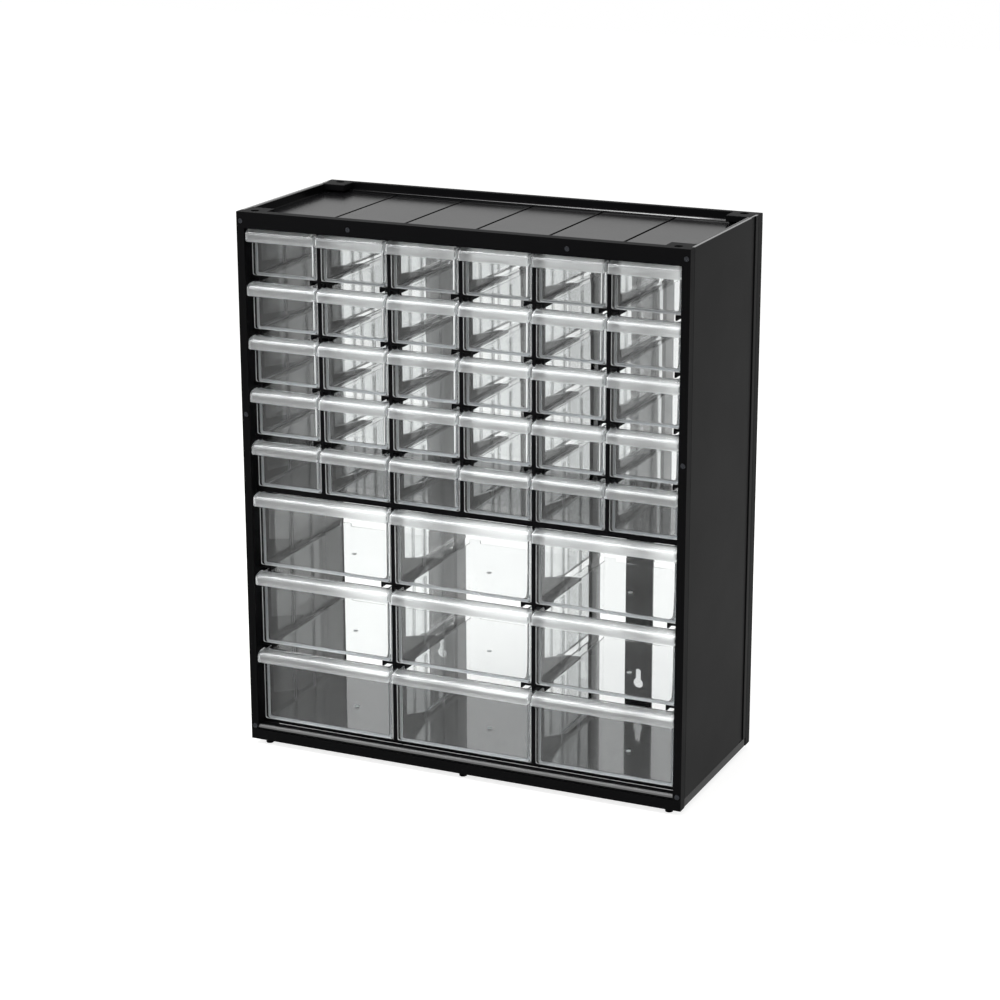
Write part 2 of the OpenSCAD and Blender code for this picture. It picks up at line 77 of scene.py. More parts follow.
def hex_colour(code):
    """An sRGB hex code such as '#1c1c1e' as linear red, green, blue and alpha."""
    channels = [int(code[k:k + 2], 16) / 255 for k in (1, 3, 5)]
    return [c / 12.92 if c <= 0.04045 else ((c + 0.055) / 1.055) ** 2.4 for c in channels] + [1.0]


def add_node(tree, kind, settings=None, inputs=None):
    """Adds a shader node, sets its settings, and fills or links its inputs by name or number."""
    node = tree.nodes.new(kind)
    for name, value in (settings or {}).items():
        setattr(node, name, value)
    for name, value in (inputs or {}).items():
        if isinstance(value, bpy.types.NodeSocket):
            tree.links.new(value, node.inputs[name])
        else:
            node.inputs[name].default_value = value
    return node


print("A mid grey of #808080 is", round(hex_colour("#808080")[0], 3), "in linear light")

# %% [markdown]
# ## The photographer's place
# The cabinet is seen from its right front and a little above it, through a long lens. The camera's angles
# and its distance were found from the corners of the case in the photograph, at the cabinet's real size.
# The aim point is a height above the underside of the case, measured along the camera's own upward
# direction.

# %% Camera
CAMERA_AZIMUTH = 24.49
CAMERA_ELEVATION = 16.60
CAMERA_ROLL = 0.13
CAMERA_DISTANCE = 2130.6
AIM_ABOVE_BASE = 190.9
FOOT_HEIGHT = 4.5
LENS_LENGTH = 96.3
FARTHEST_SEEN = 50000


def camera_axes(azimuth, elevation, roll):
    """The camera's right, up and backward directions for angles in degrees."""
    a, e = math.radians(azimuth), math.radians(elevation)
    back = Vector((math.sin(a) * math.cos(e), -math.cos(a) * math.cos(e), math.sin(e)))
    right = Vector((math.cos(a), math.sin(a), 0))
    turn = Matrix.Rotation(math.radians(-roll), 3, back)
    return turn @ right, turn @ back.cross(right), back


right, up, back = camera_axes(CAMERA_AZIMUTH, CAMERA_ELEVATION, CAMERA_ROLL)
camera = bpy.data.objects.new("camera", bpy.data.cameras.new("camera"))
scene.collection.objects.link(camera)
camera.matrix_world = Matrix((right, up, back)).transposed().to_4x4()
camera.location = (Vector((0, 0, FOOT_HEIGHT)) + up * AIM_ABOVE_BASE + back * CAMERA_DISTANCE) * MM
camera.data.lens = LENS_LENGTH
camera.data.clip_end = FARTHEST_SEEN * MM
scene.camera = camera
print("Camera at", [round(c, 3) for c in camera.location], "metres")

# %% [markdown]
# ## Light
# A product like this is photographed in a white room: broad soft light from above and from both sides. The
# world gives the even part. It looks fully white to the camera, to reflections and through the clear
# drawers, but it lights the object less than that, so that the lamps can shape it.

# %% World
WORLD_LIGHT = 0.50


def seen_directly(tree):
    """1 for rays that show a surface to the eye: camera, glossy and transmission rays. 0 for the others."""
    path = add_node(tree, "ShaderNodeLightPath")
    shiny = add_node(tree, "ShaderNodeMath", {"operation": "MAXIMUM"},
                     {0: path.outputs["Is Glossy Ray"], 1: path.outputs["Is Transmission Ray"]})
    return add_node(tree, "ShaderNodeMath", {"operation": "MAXIMUM"},
                    {0: shiny.outputs[0], 1: path.outputs["Is Camera Ray"]}).outputs[0]


world = bpy.data.worlds.new("white_studio")
world.use_nodes = True
world.node_tree.nodes.clear()
strength = add_node(world.node_tree, "ShaderNodeMapRange", {},
                    {"Value": seen_directly(world.node_tree), "To Min": WORLD_LIGHT, "To Max": 1.0})
background = add_node(world.node_tree, "ShaderNodeBackground", {},
                      {"Color": hex_colour("#ffffff"), "Strength": strength.outputs[0]})
add_node(world.node_tree, "ShaderNodeOutputWorld", {}, {"Surface": background.outputs[0]})
scene.world = world
scene.view_settings.view_transform = "Standard"
print("World light on surfaces:", WORLD_LIGHT)

# %% [markdown]
# ## Lamps
# Three softboxes stand round the cabinet: a large one overhead, one to the left for the fronts, and a weak
# one on the right that lifts the side panel. A long narrow strip light hangs over the front. It draws the
# crisp bright lines along the handles, where a broad lamp would give soft ones.

# %% Softboxes
SOFTBOXES = {
    # name: (place, width, depth, power in watts)
    "overhead_softbox": ((-250, -500, 1700), 1400, 1400, 20),
    "strip_light": ((-600, -600, 1600), 1600, 160, 12),
    "left_softbox": ((-1500, -1300, 900), 1000, 1000, 13),
    "right_softbox": ((1700, -300, 700), 900, 900, 6),
}


def softbox(name, place, width, depth, power):
    """A rectangular area lamp at a place in millimetres, turned towards the middle of the cabinet."""
    lamp = bpy.data.objects.new(name, bpy.data.lights.new(name, "AREA"))
    lamp.data.shape = "RECTANGLE"
    lamp.data.size, lamp.data.size_y = width * MM, depth * MM
    lamp.data.energy = power
    lamp.location = Vector(place) * MM
    middle = (Vector(cad_box[0]) + Vector(cad_box[1])) / 2
    lamp.rotation_euler = (middle - lamp.location).to_track_quat("-Z", "Y").to_euler()
    scene.collection.objects.link(lamp)


for name, settings in SOFTBOXES.items():
    softbox(name, *settings)
print("Lamps:", ", ".join(SOFTBOXES))

# %% [markdown]
# ## Floor
# The floor is a plain sheet of grey paper. Part of its brightness is its own for the rays that show it, so
# that it meets the white background without a line, and the rest is lit, so that the cabinet's soft shadow
# stays. A paler sheet would be seen far brighter than white through the drawers, and their walls would lose
# their greys.

# %% Floor
FLOOR_SIZE = 9000
FLOOR_GAP = 0.2
FLOOR_GLOW = 0.80
FLOOR_PAPER = "#b0b0ae"

floor_material = bpy.data.materials.new("matt_paper")
floor_material.use_nodes = True
floor_material.node_tree.nodes.clear()
paper = add_node(floor_material.node_tree, "ShaderNodeBsdfDiffuse", {}, {"Color": hex_colour(FLOOR_PAPER)})
glow_strength = add_node(floor_material.node_tree, "ShaderNodeMath", {"operation": "MULTIPLY"},
                         {0: seen_directly(floor_material.node_tree), 1: FLOOR_GLOW})
glow = add_node(floor_material.node_tree, "ShaderNodeEmission", {}, {"Strength": glow_strength.outputs[0]})
lit_and_glowing = add_node(floor_material.node_tree, "ShaderNodeAddShader", {},
                           {0: paper.outputs[0], 1: glow.outputs[0]})
add_node(floor_material.node_tree, "ShaderNodeOutputMaterial", {}, {"Surface": lit_and_glowing.outputs[0]})

floor_mesh = bpy.data.meshes.new("floor")
half = FLOOR_SIZE / 2 * MM
floor_mesh.from_pydata([(-half, -half, 0), (half, -half, 0), (half, half, 0), (-half, half, 0)],
                       [], [(0, 1, 2, 3)])
floor_mesh.materials.append(floor_material)
floor = bpy.data.objects.new("floor", floor_mesh)
floor.location.z = -FLOOR_GAP * MM
scene.collection.objects.link(floor)
print("Floor", FLOOR_SIZE / 1000, "m square")

# %% [markdown]
# ## Black moulded polystyrene
# The case is high-impact polystyrene, moulded in black. The same plastic looks different from face to face
# because of the mould. The frames come out of a spark-eroded mould with a fine matt grain, and the side
# panels out of a plain one. The tray comes out of a polished one. The faces that the drawers slide on and
# hide are the glossiest: they mirror the white room at a low angle. On the rail's lip, hands have worn the
# grain smooth. A picture could give each face its grey, but it would be wrong from every other side. Here
# all the finishes share one black and differ in roughness and specular level, so the grey comes from what
# each face mirrors. The grain is a noise bump. Its real size of about 0.1 mm would not show, so it is drawn
# coarser.

# %% Case plastic
BLACK_PLASTIC = "#060607"
DUSTY_PLASTIC = "#0c0c0d"
POLYSTYRENE_IOR = 1.59
CLOUD_SIZE = 55
CLOUD_DETAIL = 4.0
GRAIN_DETAIL = 2.0
ROUGHNESS_SPREAD = 0.15


def output_colour(mix):
    """The colour output of a Mix node, which also has outputs for numbers and vectors."""
    return next(output for output in mix.outputs if output.type == "RGBA")


def moulded_black(name, roughness, specular, grain_size, grain_height):
    """Black polystyrene with the finish that its mould gives: grain sizes in millimetres."""
    material = bpy.data.materials.new(name)
    material.use_nodes = True
    tree = material.node_tree
    shader = tree.nodes["Principled BSDF"]
    shader.inputs["IOR"].default_value = POLYSTYRENE_IOR
    shader.inputs["Specular IOR Level"].default_value = specular
    place = add_node(tree, "ShaderNodeTexCoord").outputs["Object"]
    clouds = add_node(tree, "ShaderNodeTexNoise", {},
                      {"Vector": place, "Scale": 1 / (CLOUD_SIZE * MM),
                       "Detail": CLOUD_DETAIL}).outputs["Fac"]
    grain = add_node(tree, "ShaderNodeTexNoise", {},
                     {"Vector": place, "Scale": 1 / (grain_size * MM),
                      "Detail": GRAIN_DETAIL}).outputs["Fac"]
    colour = add_node(tree, "ShaderNodeMix", {"data_type": "RGBA"},
                      {"Factor": clouds, "A": hex_colour(BLACK_PLASTIC), "B": hex_colour(DUSTY_PLASTIC)})
    rough = add_node(tree, "ShaderNodeMapRange", {},
                     {"Value": clouds, "To Min": roughness * (1 - ROUGHNESS_SPREAD),
                      "To Max": roughness * (1 + ROUGHNESS_SPREAD)})
    bump = add_node(tree, "ShaderNodeBump", {}, {"Height": grain, "Distance": grain_height * MM})
    tree.links.new(output_colour(colour), shader.inputs["Base Color"])
    tree.links.new(rough.outputs[0], shader.inputs["Roughness"])
    tree.links.new(bump.outputs[0], shader.inputs["Normal"])
    return material


# name, roughness, specular level, size and height of the grain
grained_plastic = moulded_black("moulded_polystyrene_grained", 0.50, 0.02, 0.8, 0.02)
satin_plastic = moulded_black("moulded_polystyrene_satin", 0.34, 0.012, 1.4, 0.004)
polished_plastic = moulded_black("moulded_polystyrene_polished", 0.18, 0.04, 3.0, 0.005)
glossy_plastic = moulded_black("moulded_polystyrene_glossy", 0.16, 0.50, 3.0, 0.005)
mirror_plastic = moulded_black("moulded_polystyrene_mirror", 0.14, 0.90, 3.0, 0.003)
lip_plastic = moulded_black("moulded_polystyrene_brushed_lip", 0.55, 1.00, 3.0, 0.005)
print("Case finishes:", ", ".join(material.name for material in (
    grained_plastic, satin_plastic, polished_plastic, glossy_plastic, mirror_plastic, lip_plastic)))

# %% [markdown]
# ## Black-zinced steel
# The screws are steel with a black zinc coat: a dark metal that still glints where the light meets it.
# Small spots, lighter and rougher, stand for the crystals of the coat.

# %% Screw steel
ZINC_COLOURS = ("#26272a", "#44464a")
ZINC_ROUGHNESS = (0.28, 0.46)
ZINC_SPOT = 0.6

screw_steel = bpy.data.materials.new("steel_black_zinc")
screw_steel.use_nodes = True
tree = screw_steel.node_tree
steel_shader = tree.nodes["Principled BSDF"]
steel_shader.inputs["Metallic"].default_value = 1.0
spots = add_node(tree, "ShaderNodeTexNoise", {},
                 {"Vector": add_node(tree, "ShaderNodeTexCoord").outputs["Object"],
                  "Scale": 1 / (ZINC_SPOT * MM)})
steel_colour = add_node(tree, "ShaderNodeMix", {"data_type": "RGBA"},
                        {"Factor": spots.outputs["Fac"],
                         "A": hex_colour(ZINC_COLOURS[0]), "B": hex_colour(ZINC_COLOURS[1])})
steel_rough = add_node(tree, "ShaderNodeMapRange", {},
                       {"Value": spots.outputs["Fac"],
                        "To Min": ZINC_ROUGHNESS[0], "To Max": ZINC_ROUGHNESS[1]})
tree.links.new(output_colour(steel_colour), steel_shader.inputs["Base Color"])
tree.links.new(steel_rough.outputs[0], steel_shader.inputs["Roughness"])
print("Screws:", screw_steel.name)

# %% [markdown]
# ## Clear polystyrene
# The drawers are crystal polystyrene. It bends light by an index of 1.59, and so do the handles here. The
# flat walls get a lower index: each wall mirrors the white room twice, and with the full index the black
# case behind three or four walls would look much paler than it does in the photograph.
# Two kinds of light need help. Light trapped in a thin wall runs along it by total reflection, and the
# renderer would end it black after a few turns, so a share of it is scattered out, which makes the walls'
# ends glow. Shadow rays pass, as light does in a clear drawer, because a path tracer would hardly ever find
# a lamp through several bent walls.
# The finishes are clear walls, clear handles, the handles' rougher insides, the rim of the front plate,
# which is a painted highlight: it scatters a white share so that it shows as a bright line, and the broken
# stub of plastic at the mould's gate. Faint smears from hands vary the tint and the roughness.

# %% Drawer plastic
CLEAR_WALLS = ("#f4f5f5", "#f8f9f9")
WALL_INDEX = 1.28
CLEAR_SHARE = 0.993
FROSTED_SHARE = 0.95
# share of light that passes at the front plate's rim; the rest is scattered white as a painted highlight
RIM_HIGHLIGHT_SHARE = 0.70
GATE_SHARE = 0.60
LEAK_SHARE = 0.30
TRAPPED = 0.99
SMEAR_SIZE = 18
SMEAR_DETAIL = 5.0
SHADOW_TINT = "#e3e6e8"


def clear_moulding(name, index, clear_share, smooth, rough):
    """Clear polystyrene: its index, the share of light that passes, and its least and greatest roughness."""
    material = bpy.data.materials.new(name)
    material.use_nodes = True
    tree = material.node_tree
    shader = tree.nodes["Principled BSDF"]
    shader.inputs["IOR"].default_value = index
    shader.inputs["Transmission Weight"].default_value = clear_share
    place = add_node(tree, "ShaderNodeTexCoord").outputs["Object"]
    smears = add_node(tree, "ShaderNodeTexNoise", {},
                      {"Vector": place, "Scale": 1 / (SMEAR_SIZE * MM),
                       "Detail": SMEAR_DETAIL}).outputs["Fac"]
    roughness = add_node(tree, "ShaderNodeMapRange", {},
                         {"Value": smears, "To Min": smooth, "To Max": rough})
    colour = add_node(tree, "ShaderNodeMix", {"data_type": "RGBA"},
                      {"Factor": smears, "A": hex_colour(CLEAR_WALLS[0]), "B": hex_colour(CLEAR_WALLS[1])})
    tree.links.new(output_colour(colour), shader.inputs["Base Color"])
    tree.links.new(roughness.outputs[0], shader.inputs["Roughness"])
    mirrored = add_node(tree, "ShaderNodeFresnel", {}, {"IOR": index}).outputs[0]
    trapped = add_node(tree, "ShaderNodeMath", {"operation": "GREATER_THAN"}, {0: mirrored, 1: TRAPPED})
    leak = add_node(tree, "ShaderNodeMath", {"operation": "MULTIPLY"},
                    {0: trapped.outputs[0], 1: LEAK_SHARE})
    scatter = add_node(tree, "ShaderNodeBsdfDiffuse", {}, {"Color": hex_colour(CLEAR_WALLS[1])})
    body = add_node(tree, "ShaderNodeMixShader", {},
                    {0: leak.outputs[0], 1: shader.outputs[0], 2: scatter.outputs[0]})
    let_through = add_node(tree, "ShaderNodeBsdfTransparent", {}, {"Color": hex_colour(SHADOW_TINT)})
    is_shadow = add_node(tree, "ShaderNodeLightPath").outputs["Is Shadow Ray"]
    either = add_node(tree, "ShaderNodeMixShader", {},
                      {0: is_shadow, 1: body.outputs[0], 2: let_through.outputs[0]})
    tree.links.new(either.outputs[0], tree.nodes["Material Output"].inputs["Surface"])
    return material


# name, index, share of light that passes, least and greatest roughness
clear_walls = clear_moulding("clear_polystyrene_walls", WALL_INDEX, CLEAR_SHARE, 0.0, 0.03)
clear_handle = clear_moulding("clear_polystyrene_handle", POLYSTYRENE_IOR, CLEAR_SHARE, 0.03, 0.035)
frosted_inside = clear_moulding("clear_polystyrene_frosted", POLYSTYRENE_IOR, FROSTED_SHARE, 0.30, 0.40)
# painted highlight: the rim lets 70 % through and scatters the rest as white, which draws a bright line
# round each front
painted_rim_highlight = clear_moulding("clear_polystyrene_painted_rim_highlight", POLYSTYRENE_IOR, RIM_HIGHLIGHT_SHARE, 0.20, 0.30)
gate_mark = clear_moulding("clear_polystyrene_gate_mark", POLYSTYRENE_IOR, GATE_SHARE, 0.50, 0.60)
DRAWER_FINISH = (clear_walls, clear_handle, frosted_inside, painted_rim_highlight, gate_mark)
print("Drawer finishes:", ", ".join(material.name for material in DRAWER_FINISH))

# %% [markdown]
# ## The case: one finish for each piece
# The CAD pieces of the case have the right shape and only miss what a mould gives every edge: a small
# radius that catches the light. The radius is smaller on the frame, whose screw holes leave it little room.

# %% Finish and edge radius of each piece
CASE_FINISH = {
    # node: (material, edge radius in millimetres)
    "front_frame": (grained_plastic, 0.2),
    "rear_frame": (grained_plastic, 0.4),
    "left_side_panel": (satin_plastic, 0.3),
    "right_side_panel": (satin_plastic, 0.3),
    "top_tray": (polished_plastic, 0.3),
    "bottom_panel": (polished_plastic, 0.3),
    "middle_shelf": (polished_plastic, 0.3),
    "rear_strap_left": (glossy_plastic, 0.4),
    "rear_strap_right": (glossy_plastic, 0.4),
    "foot_pegs": (grained_plastic, 0.3),
    "front_frame_screws": (screw_steel, 0.12),
    "rear_frame_screws": (screw_steel, 0.12),
    "strap_screws": (screw_steel, 0.12),
}
DIVIDER_FINISH = (satin_plastic, 0.3)
print("Pieces with a finish of their own:", len(CASE_FINISH))

# %% [markdown]
# ## The case: finishes by face
# Some faces of a piece came out of a more polished part of its mould. A painter would pick such faces by
# hand. Here a short test on a face's place and direction picks them, so that it holds for every divider
# alike. Places are in millimetres in the cabinet's own frame. A face looks square along an axis when its
# normal follows that axis by more than SQUARE_ON.

# %% Tests that pick faces
SQUARE_ON = 0.9
CASE_DEPTH = 154
LIP_AXIS = (2.3, 14.9)
LIP_RADIUS = 2.1
SKIN_FROM_MIDDLE = 179.9
REAR_POST_START = 42
STRIP_START = 60
STRIP_FRONT = 64
TRAY_FLOOR = 423.2
TOLERANCE = 0.2


def faces_forward(place, normal):
    """The front edges of the dividers, the side panels, the shelf and the floor."""
    return normal.y < -SQUARE_ON


def carries_a_drawer(place, normal):
    """The tops of the ledges, of the shelf and of the floor."""
    return normal.z > SQUARE_ON


def on_the_recessed_skin(place, normal):
    """The recessed inner face of a side panel, seen through the drawers."""
    faces_inwards = normal.x * place.x < -SQUARE_ON * abs(place.x)
    return faces_inwards and abs(place.x) > SKIN_FROM_MIDDLE - TOLERANCE / 2


def on_a_rear_post(place, normal):
    """The sides of a divider's rear post."""
    return abs(normal.x) > SQUARE_ON and place.y > REAR_POST_START


def on_the_tray_strip(place, normal):
    """The top of the raised strip along the back of the tray."""
    return normal.z > SQUARE_ON and place.y > STRIP_START and place.z > TRAY_FLOOR + TOLERANCE


def on_the_lip(place, normal):
    """The rounded lip along the lower rail of the front frame, apart from its underside."""
    from_axis = math.hypot(place.y + CASE_DEPTH / 2 - LIP_AXIS[0], place.z - LIP_AXIS[1])
    return from_axis < LIP_RADIUS + TOLERANCE and normal.z > -TOLERANCE


def paint_faces(piece, material, test):
    """Gives another material to the faces for which test(place, normal) holds."""
    piece.data.materials.append(material)
    for face in piece.data.polygons:
        if test(piece.matrix_world @ face.center / MM, face.normal):
            face.material_index = len(piece.data.materials) - 1


def paint_case_piece(name, piece):
    """Picks out the faces of one piece of the case."""
    broad = name in ("middle_shelf", "bottom_panel")
    if "divider" in name or "side_panel" in name or broad:
        paint_faces(piece, grained_plastic, faces_forward)
        paint_faces(piece, mirror_plastic if broad else glossy_plastic, carries_a_drawer)
    if "side_panel" in name:
        paint_faces(piece, glossy_plastic, on_the_recessed_skin)
    if "divider" in name:
        paint_faces(piece, glossy_plastic, on_a_rear_post)
    if name == "top_tray":
        paint_faces(piece, glossy_plastic, on_the_tray_strip)
    if name == "front_frame":
        paint_faces(piece, lip_plastic, on_the_lip)


print("The lip's axis is", LIP_AXIS[1], "mm above the floor")

# %% [markdown]
# ## The case: eased edges
# The edges could be rounded in the CAD, but there it would cost every bore its clean edge, and a bevel
# modifier leaves the CAD mesh as it is. A weld joins the faces first, because the bevel needs edges that
# two faces share. Weighted normals then keep the large faces flat. The raised strip of the tray has a much
# rounder front edge, which mirrors the room as one light line, so it gets a bevel of its own on the
# vertices of that edge.

# %% Round the edges
EDGE_ANGLE = 35
EDGE_STEPS = 2
WELD_DISTANCE = 0.01
STRIP_ROUND = 1.55
STRIP_STEPS = 4
STRIP_MATERIAL = 1


def add_weld(piece, name):
    """Joins the corners that lie within WELD_DISTANCE."""
    piece.modifiers.new(name, "WELD").merge_threshold = WELD_DISTANCE * MM


def ease_edges(piece, radius):
    """Rounds every edge of a piece that turns by more than EDGE_ANGLE degrees."""
    add_weld(piece, "weld")
    bevel = piece.modifiers.new("eased_edges", "BEVEL")
    bevel.width = radius * MM
    bevel.segments = EDGE_STEPS
    bevel.limit_method = "ANGLE"
    bevel.angle_limit = math.radians(EDGE_ANGLE)
    bevel.use_clamp_overlap = False
    bevel.loop_slide = False
    flat = piece.modifiers.new("flat_faces", "WEIGHTED_NORMAL")
    flat.keep_sharp = True


def round_the_strip(tray):
    """A larger radius along the front edge of the tray's raised strip, in the strip's own material."""
    edge = tray.vertex_groups.new(name="strip_edge")
    for vertex in tray.data.vertices:
        place = tray.matrix_world @ vertex.co / MM
        if abs(place.y - STRIP_FRONT) < TOLERANCE / 2 and place.z > TRAY_FLOOR + TOLERANCE:
            edge.add([vertex.index], 1.0, "REPLACE")
    add_weld(tray, "weld_strip")
    bevel = tray.modifiers.new("rounded_strip", "BEVEL")
    bevel.width = STRIP_ROUND * MM
    bevel.segments = STRIP_STEPS
    bevel.limit_method = "VGROUP"
    bevel.vertex_group = edge.name
    bevel.loop_slide = False
    bevel.material = STRIP_MATERIAL


for name, piece in nodes.items():
    if "drawer" in name:
        continue
    material, radius = CASE_FINISH.get(name, DIVIDER_FINISH)
    piece.data.materials.clear()
    piece.data.materials.append(material)
    paint_case_piece(name, piece)
    if name == "top_tray":
        round_the_strip(piece)
    ease_edges(piece, radius)
print("Case pieces finished:", len([name for name in nodes if "drawer" not in name]))

# %% [markdown]
# ## Tools for a moulded drawer
# A drawer is made as a pattern maker would make it: solid forms are joined, and the hollows are cut out of
# them, which leaves thin walls of even thickness. Two kinds of form are enough. A block with rounded edges
# gives the box and the front. A loft, which is a row of outlines across the drawer joined by faces, gives
# the hooded handle, because its outline changes towards its rounded ends. A subdivision surface would round
# the corners too, but it would bend the flat walls that have to look like clear sheets.

# %% Blocks and lofts
LOW_SIDE = 0.01
HIGH_SIDE = 0.99


def as_object(name, builder):
    """Turns a bmesh into an object of the scene."""
    bmesh.ops.recalc_face_normals(builder, faces=builder.faces)
    mesh = bpy.data.meshes.new(name)
    builder.to_mesh(mesh)
    builder.free()
    piece = bpy.data.objects.new(name, mesh)
    scene.collection.objects.link(piece)
    return piece


def block(name, low, high, rounds=()):
    """A block between two corners in millimetres, with rounds of (radius, segments, test). A test gets the
    middle of an edge as three fractions, from 0 at the low corner to 1 at the high one, and says whether
    that edge is rounded."""
    builder = bmesh.new()
    bmesh.ops.create_cube(builder, size=1)
    low, high = Vector(low) * MM, Vector(high) * MM
    for vertex in builder.verts:
        vertex.co = Vector([low[k] + (vertex.co[k] + 0.5) * (high[k] - low[k]) for k in range(3)])
    for radius, segments, test in rounds:
        middles = {e: (e.verts[0].co + e.verts[1].co) / 2 - low for e in builder.edges}
        chosen = [e for e, m in middles.items() if test(*[m[k] / (high[k] - low[k]) for k in range(3)])]
        bmesh.ops.bevel(builder, geom=chosen, offset=radius * MM, segments=segments, profile=0.5,
                        affect="EDGES")
    return as_object(name, builder)


def loft(name, sections):
    """A closed solid through sections in millimetres: each is (x, outline), an outline a list of (y, z)."""
    builder = bmesh.new()
    rings = [[builder.verts.new((x * MM, y * MM, z * MM)) for y, z in outline] for x, outline in sections]
    for ring, following in zip(rings, rings[1:]):
        for k in range(len(ring)):
            j = (k + 1) % len(ring)
            builder.faces.new((ring[k], ring[j], following[j], following[k]))
    builder.faces.new(rings[0])
    builder.faces.new(rings[-1])
    return as_object(name, builder)


print("Blocks and lofts ready")

# %% [markdown]
# ## Joining and cutting
# Booleans join and cut the forms. The last step gives the flat walls flat shading and the rounds smooth
# shading, with weighted normals, so that the walls reflect and refract as clean sheets.

# %% Booleans
SMOOTH_ANGLE = 40


def apply_modifiers(piece):
    """Replaces a piece's mesh by what its modifiers make of it."""
    depsgraph = bpy.context.evaluated_depsgraph_get()
    piece.data = bpy.data.meshes.new_from_object(piece.evaluated_get(depsgraph), depsgraph=depsgraph)
    piece.modifiers.clear()


def combine(piece, tools, operation):
    """Joins tools to a piece (UNION) or cuts them out of it (DIFFERENCE), and uses the tools up."""
    for tool in tools:
        boolean = piece.modifiers.new(tool.name, "BOOLEAN")
        boolean.operation = operation
        boolean.solver = "EXACT"
        boolean.object = tool
    apply_modifiers(piece)
    for tool in tools:
        bpy.data.objects.remove(tool)


def shade(piece):
    """Smooth shading on the rounds, flat shading on the walls."""
    piece.data.shade_smooth()
    piece.data.set_sharp_from_angle(angle=math.radians(SMOOTH_ANGLE))
    normals = piece.modifiers.new("flat_faces", "WEIGHTED_NORMAL")
    normals.keep_sharp = True
    apply_modifiers(piece)


print("Booleans ready")

# %% [markdown]
# ## The outline of a handle
# A drawer has a front plate, a thin-walled box behind it, and a hooded handle across its whole width. Seen
# from its end, the handle falls in a quarter ellipse to a straight lip, whose edge is eased. A bead along
# the lip keeps a thin moulding from cutting the fingers, so the hollow under the hood is narrower there.
# The outline could be drawn point by point, but as a formula its inset is exact, which the rounded ends
# need too. Depths count from the front of the case, and heights from the ledge that the drawer runs on.

# %% Handle
FRONT_DEPTH = 8.5
FRONT_THICKNESS = 2.0
HOOD_SETBACK = 0.3
HOOD_HEIGHT = 9.6
HOOD_FALL = 3.6
FALL_PER_INSET = 0.3
HOOD_WALL = 1.5
HOOD_STEPS = 10
LIP_EASE = 0.6
LIP_CORNER = 0.18
BEAD_SIZE = 0.8
BEAD_TOP = 2.2
BEAD_SHOULDER = 1.3
OVERLAP = 0.5
CUT_BEYOND = 1.0


def quarter_turn(steps):
    """Angles from 0 to a right angle."""
    return [math.pi / 2 * k / steps for k in range(steps + 1)]


def hood_curve(top, inset):
    """The quarter ellipse of the handle's top, made smaller by inset."""
    reach = FRONT_DEPTH - HOOD_SETBACK - inset
    fall = HOOD_FALL - inset * FALL_PER_INSET
    return [(FRONT_DEPTH - reach * math.sin(a), top - inset - fall * (1 - math.cos(a)))
            for a in quarter_turn(HOOD_STEPS)]


def hood_outline(top, inset):
    """The handle seen from its end: a quarter ellipse, a straight lip, an eased edge and a way back."""
    curve = hood_curve(top, inset)
    edge = curve[-1][0]
    low = top - HOOD_HEIGHT + min(inset, HOOD_WALL)
    lip = [(edge, low + LIP_EASE), (edge + LIP_CORNER, low + LIP_CORNER), (edge + LIP_EASE, low)]
    behind = FRONT_DEPTH + FRONT_THICKNESS
    return [(behind, top - inset)] + curve + lip + [(FRONT_DEPTH + OVERLAP, low), (behind, low)]


def hollow_outline(top, inset):
    """The hollow under the handle, seen from its end, with room left for the bead along the lip."""
    curve = hood_curve(top, HOOD_WALL + inset)
    edge = curve[-1][0]
    low = top - HOOD_HEIGHT
    return curve + [(edge, low + BEAD_TOP), (edge + BEAD_SIZE, low + BEAD_SHOULDER),
                    (edge + BEAD_SIZE, low - CUT_BEYOND), (FRONT_DEPTH, low - CUT_BEYOND)]


def rounded_ends(half_width, radius, steps):
    """Places across the drawer, each with the inset that gives its ends a round of that radius."""
    stations = [(half_width - radius + radius * math.sin(a), radius * (1 - math.cos(a)))
                for a in quarter_turn(steps)]
    return [(-x, inset) for x, inset in reversed(stations)] + stations


print("The handle is", HOOD_HEIGHT, "mm high")

# %% [markdown]
# ## Details inside a drawer
# Pairs of ribs on the side walls take a partition. The small drawers have fine ridges along the bottom,
# which keep flat parts from sticking to it. The large ones show the mould's gate, a low round nub on the
# middle line. The ridges could be a bump in the material, but then they would bend no light at the bottom's
# rim.

# %% Details
RUN_GAP = 0.2
BOTTOM = 1.6
WALL = 1.5
RIB_DEPTHS = (53, 86)
RIB_GAP = 2.0
RIB_WIDTH = 0.9
RIB_PROUD = 0.9
RIB_DROP = 3
RIDGE_SPACING = 2.4
RIDGE_HEIGHT = 0.28
GATE_DEPTH = 58
GATE_DIAMETER = 4.4
GATE_TAPER = 0.8
GATE_PROUD = 0.5
GATE_SIDES = 24


def partition_ribs(half_body, top):
    """Slim ribs in pairs on both side walls."""
    ribs = []
    for depth in RIB_DEPTHS:
        for side in (-1, 1):
            for along in (-1, 1):
                y = depth + along * (RIB_GAP + RIB_WIDTH) / 2
                wall = side * (half_body - WALL + OVERLAP)
                free = side * (half_body - WALL - RIB_PROUD)
                ribs.append(block("rib", (min(wall, free), y - RIB_WIDTH / 2, RUN_GAP + BOTTOM - OVERLAP),
                                  (max(wall, free), y + RIB_WIDTH / 2, top - RIB_DROP)))
    return ribs


